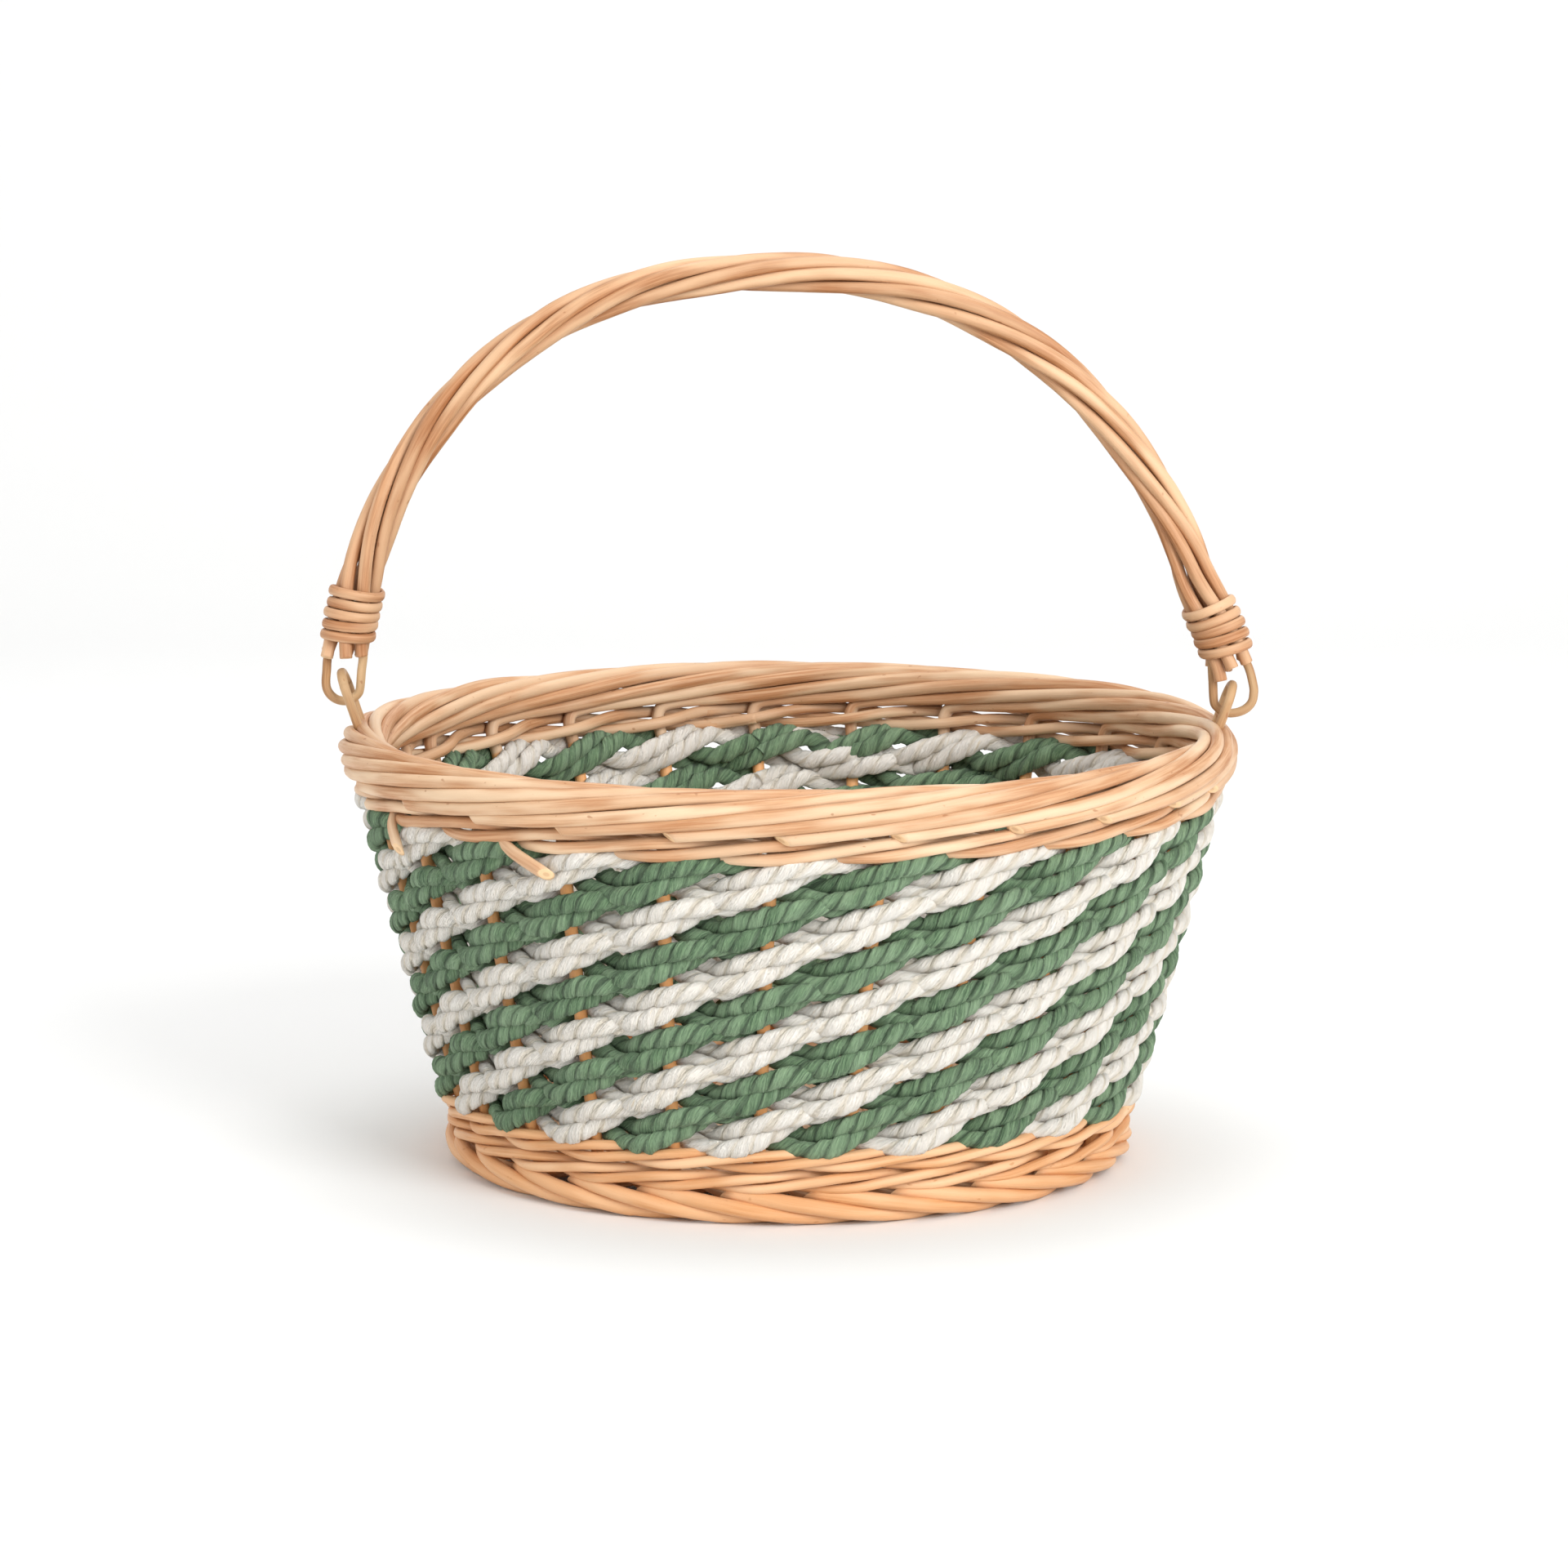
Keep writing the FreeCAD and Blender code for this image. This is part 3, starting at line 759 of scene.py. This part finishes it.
def make_links():
    """Cane loops bound into the handle, hanging in cane loops set in the border."""
    dice = np.random.default_rng(81)
    for side, name in ((-1, "left"), (1, "right")):
        inner = LOOP_RADIUS - (0.3 if side < 0 else 0.1)
        outer = LOOP_RADIUS + (0.0 if side < 0 else 1.6)
        neck = CANE_RADIUS + 0.1
        centre = side * LINK_HALF_SPAN
        quarter = np.linspace(0.0, math.pi / 2, 5)[1:]
        low = [(centre - side * inner * math.cos(a), LOOP_RADIUS - LOOP_RADIUS * math.sin(a))
               for a in quarter]
        low += [(centre + side * outer * math.sin(a), LOOP_RADIUS - LOOP_RADIUS * math.cos(a))
                for a in quarter]
        rows = [(arch_side_at(side, z) - side * neck, 0, z) for z in (34.0, 27.0)]
        rows += [(centre - side * inner - side * shift, 0, z)
                 for z, shift in ((17.0, 0.6), (9.4, 0.1))]
        rows += [(x, 0, z) for x, z in low]
        rows += [(centre + side * (outer - shift), 0, z)
                 for z, shift in ((9.4, 0.2), (17.0, outer - 4.6))]
        rows += [(arch_side_at(side, z) + side * neck, 0, z) for z in (27.0, 34.0)]
        path = even(to_world(smooth(rows, 10)), 0.6)
        bundle = Bundle()
        radius = CANE_RADIUS * (1 + 0.03 * wander(lengths(path), 25.0, dice))
        bundle.sweep(path, carried(path, (0.0, 1.0, 0.0)), radius, dice, 14, crease=0.015)
        bundle.build("cane_handle_loop_" + name, CANE, "handle", ("handle_loop_" + name,))

        pivot = to_world(np.array([centre, 0.0, 0.0]))
        top = pivot[2] + LINK_LENGTH
        crown_x = pivot[0] + side * 0.6
        root_x, root_z = side * RIM_LOOP_ROOT, 131.0
        shape = [(-LOOP_RADIUS * 0.8, root_z - 6), (-LOOP_RADIUS * 0.9, root_z)]
        shape += [(LOOP_RADIUS * math.sin(a), top - LOOP_RADIUS + LOOP_RADIUS * math.cos(a))
                  for a in half_ring()]
        shape += [(LOOP_RADIUS * 0.9, root_z), (LOOP_RADIUS * 0.8, root_z - 6)]
        slope = (crown_x - root_x) / (top - root_z)
        rows = [(root_x + slope * (z - root_z), y, z) for y, z in shape]
        path = even(smooth(rows, 10), 0.6)
        bundle = Bundle()
        bundle.sweep(path, carried(path, (1.0, 0.0, 0.0)), CANE_RADIUS + 0.1, dice, 14,
                     crease=0.015)
        bundle.build("cane_rim_loop_" + name, CANE, "basket", ("rim_loop_" + name,))


# ---- handle -------------------------------------------------------------------------------

def arch_line(step):
    """The handle's centre line, with ROD_SPARE beyond each end, in the handle's frame."""
    low = HANDLE_END - ROD_SPARE + ARCH_DROP
    first = math.asin((low / ARCH_HEIGHT) ** (ARCH_POWER / 2))
    angle = np.linspace(first, math.pi - first, 1500)
    cosine = np.cos(angle)
    x = -np.sign(cosine) * np.abs(cosine) ** (2 / ARCH_POWER) * ARCH_HALF_WIDTH
    z = np.sin(angle) ** (2 / ARCH_POWER) * ARCH_HEIGHT - ARCH_DROP
    x, z = leaned(x, z)
    return even(np.stack([x, np.zeros_like(x), z], axis=-1), step)


def arch_frame(step):
    """Centre line, outward normal, distance along it and the whole length."""
    centre = arch_line(step)
    ahead = unit(np.gradient(centre, axis=0))
    normal = np.stack([-ahead[:, 2], np.zeros(len(ahead)), ahead[:, 0]], axis=-1)
    along = lengths(centre)
    return centre, normal, along, along[-1]


def make_handle():
    """Six rods twisted round a core, their cut ends showing under the two bindings."""
    dice = np.random.default_rng(91)
    step = 0.5
    centre, normal, along, total = arch_frame(step)
    sideways = np.tile([0.0, 1.0, 0.0], (len(centre), 1))
    near = np.minimum(along, total - along) - ROD_SPARE
    opening = eased(near / 34.0 - 0.6)
    lay = HANDLE_LAY_END + (HANDLE_LAY - HANDLE_LAY_END) * opening
    flare = np.exp(-np.maximum(near, -3.0) / 4.5)
    for k in range(7):
        path = centre
        if k:
            phase = 2 * math.pi * (k - 1) / 6 + 0.52
            wave = 0.16 * wander(along, 130.0, dice)
            turn = phase + 2 * math.pi * (along - ROD_SPARE) / HANDLE_PITCH + wave
            reach = lay + flare * (k != LONG_ROD) + 0.22 * wander(along, 75.0, dice) * opening
            path = path + normal * (reach * np.cos(turn))[:, None]
            path = path + sideways * (reach * np.sin(turn))[:, None]
            spare = [dice.uniform(-1.2, 1.6), dice.uniform(-1.5, 1.8)]
            if k == LONG_ROD:
                spare[1] = LONG_ROD_SPARE
        else:
            spare = [-20.0, -20.0]
        first, last = [int((ROD_SPARE - more) / step) for more in spare]
        world = to_world(path[first:len(path) - last])
        distance = lengths(world)
        radius = HANDLE_ROD_RADIUS * (1.04 + 0.05 * wander(distance, 160.0, dice))
        bundle = Bundle()
        bundle.sweep(world, carried(world, (0.0, 1.0, 0.0)), radius, dice, 16, crease=0.012)
        name = "handle_rod_%d" % k if k else "handle_core_rod"
        bundle.build("twisted_" + name, WILLOW_DEEP, "handle", (name,))


def make_bindings():
    """Split cane wound round each end of the handle."""
    dice = np.random.default_rng(95)
    centre, normal, along, total = arch_frame(0.25)
    for side, name in ((-1, "left"), (1, "right")):
        turns = np.arange(0, BINDING_TURNS * 40 + 1) / 40
        uneven = 0.35 * wander(turns, 2.6, dice)
        place = ROD_SPARE + BINDING_START + turns * BINDING_PITCH + uneven
        if side > 0:
            place = total - place
        turn = 0.8 - 2 * math.pi * turns
        reach = HANDLE_LAY_END + HANDLE_ROD_RADIUS + 0.75 + 0.25 * wander(turns, 2.3, dice)
        middle = np.column_stack([np.interp(place, along, centre[:, i]) for i in range(3)])
        facing = unit(np.column_stack([np.interp(place, along, normal[:, i]) for i in range(3)]))
        away = facing * np.cos(turn)[:, None] + np.array([0.0, 1.0, 0.0]) * np.sin(turn)[:, None]
        path = to_world(middle + away * reach[:, None])
        bundle = Bundle()
        outside = unit(path - to_world(middle))
        bundle.sweep(path, outside, BINDING_RADIUS, dice, 14, width=0.62, crease=0.012)
        name = "handle_binding_" + name
        bundle.build("wound_" + name, WILLOW_DEEP, "handle", (name,))


# ---- stage --------------------------------------------------------------------------------

def make_stage():
    """A pale floor that curves up behind the basket."""
    rows = [(-2.5, 0.0), (1.2, 0.0)]
    rows += [(1.2 + 0.8 * math.sin(a), 0.8 - 0.8 * math.cos(a)) for a in np.linspace(0.1, 1.5, 12)]
    rows.append((2.02, 3.2))
    points = [(x, y, z) for y, z in rows for x in (-4.0, 4.0)]
    faces = [(2 * i, 2 * i + 1, 2 * i + 3, 2 * i + 2) for i in range(len(rows) - 1)]
    mesh = bpy.data.meshes.new("floor")
    mesh.from_pydata(points, [], faces)
    mesh.polygons.foreach_set("use_smooth", [True] * len(faces))
    floor = bpy.data.objects.new("floor", mesh)
    bpy.context.scene.collection.objects.link(floor)
    n = Nodes("floor")
    n.shader.inputs["Base Color"].default_value = (0.86, 0.86, 0.855, 1.0)
    n.shader.inputs["Roughness"].default_value = 0.9
    mesh.materials.append(n.material)


def area_light(name, place, aim, width, power):
    """A soft square light that faces a point."""
    data = bpy.data.lights.new(name, "AREA")
    data.shape = "SQUARE"
    data.size = width
    data.energy = power
    thing = bpy.data.objects.new(name, data)
    thing.location = place
    way = Vector(aim) - Vector(place)
    thing.rotation_euler = way.to_track_quat("-Z", "Y").to_euler()
    bpy.context.scene.collection.objects.link(thing)


def make_lights():
    """A broad key from the right, a fill from the left and an even surround."""
    aim = (0.0, 0.0, 0.12)
    area_light("key", (1.25, -1.75, 1.15), aim, 1.2, 44.0)
    area_light("fill", (-1.5, -1.2, 0.9), aim, 1.4, 10.0)
    area_light("top", (0.0, 0.4, 1.9), aim, 1.4, 14.0)
    world = bpy.data.worlds.new("surround")
    bpy.context.scene.world = world
    world.use_nodes = True
    background = world.node_tree.nodes["Background"]
    background.inputs["Color"].default_value = (1.0, 1.0, 1.0, 1.0)
    background.inputs["Strength"].default_value = 0.66
    bpy.context.scene.view_settings.view_transform = "Standard"


def make_camera():
    """The camera, a little above the rim and looking slightly down."""
    data = bpy.data.cameras.new("camera")
    data.lens = 129.47
    data.sensor_width = 36.0
    camera = bpy.data.objects.new("camera", data)
    camera.location = (-0.0015, -1.8, 0.4151)
    camera.rotation_euler = (math.radians(90 - 9.3), 0.0, 0.0)
    bpy.context.scene.collection.objects.link(camera)
    bpy.context.scene.camera = camera


make_camera()
make_lights()
make_stage()
make_bands()
make_wales()
make_stakes()
make_foot()
make_base()
make_links()
make_handle()
make_bindings()
